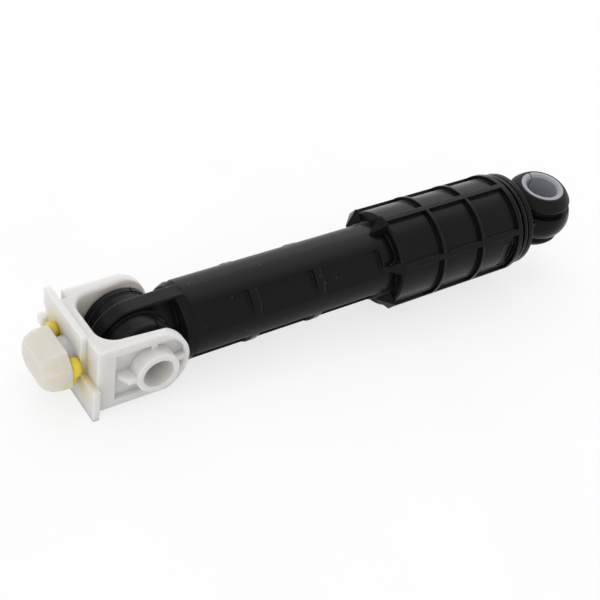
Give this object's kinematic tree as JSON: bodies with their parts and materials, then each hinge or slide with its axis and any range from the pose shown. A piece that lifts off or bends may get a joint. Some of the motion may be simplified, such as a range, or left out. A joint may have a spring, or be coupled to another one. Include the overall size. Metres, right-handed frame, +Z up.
{
  "type": "washing machine shock absorber",
  "caption": "Friction damper for a washing machine drum: ribbed black rod sliding in a ribbed barrel, rubber-bushed fixed eye, and a white swivelling yoke with a quarter-turn locking nose.",
  "frame": {"origin": "centre of the fixed eye's bore", "axes": "+X along the tube from the yoke to the fixed eye, +Y along the yoke's pivot away from the viewer, +Z up as it lies"},
  "size_m": [0.2469, 0.0432, 0.0416],
  "materials": {
    "black_plastic": "fine moulded grain",
    "white_plastic": "satin, natural white",
    "natural_plastic": "satin",
    "grey_plastic": "satin",
    "rubber": "matte",
    "lining": "greased foam",
    "yellow_dab": "waxy"
  },
  "bodies": {
    "barrel": {"barrel": "black_plastic", "lining_front": "lining", "lining_spacer": "black_plastic", "lining_rear": "lining", "lining_retainer": "black_plastic", "end_cap": "black_plastic", "bump_stop": "rubber", "eye_bush_upper": "rubber", "eye_bush_lower": "rubber", "eye_sleeve": "grey_plastic"},
    "guide": {"guide_ring": "natural_plastic"},
    "rod": {"rod": "black_plastic", "pivot_bush_near": "rubber", "pivot_bush_far": "rubber"},
    "yoke": {"yoke": "white_plastic", "grease_dab_upper": "yellow_dab", "grease_dab_lower": "yellow_dab"}
  },
  "joints": [
    {"name": "rod_slide", "type": "slide", "parent": "barrel", "child": "guide", "axis": [1, 0, 0], "range_m": [-0.0175, 0.0135]},
    {"name": "rod_spin", "type": "hinge", "parent": "guide", "child": "rod", "pos_m": [-0.1, 0, 0], "axis": [1, 0, 0], "continuous": true},
    {"name": "yoke_swivel", "type": "hinge", "parent": "rod", "child": "yoke", "pos_m": [-0.195, 0, 0], "axis": [0, 1, 0], "range_deg": [-85, 85]}
  ]
}
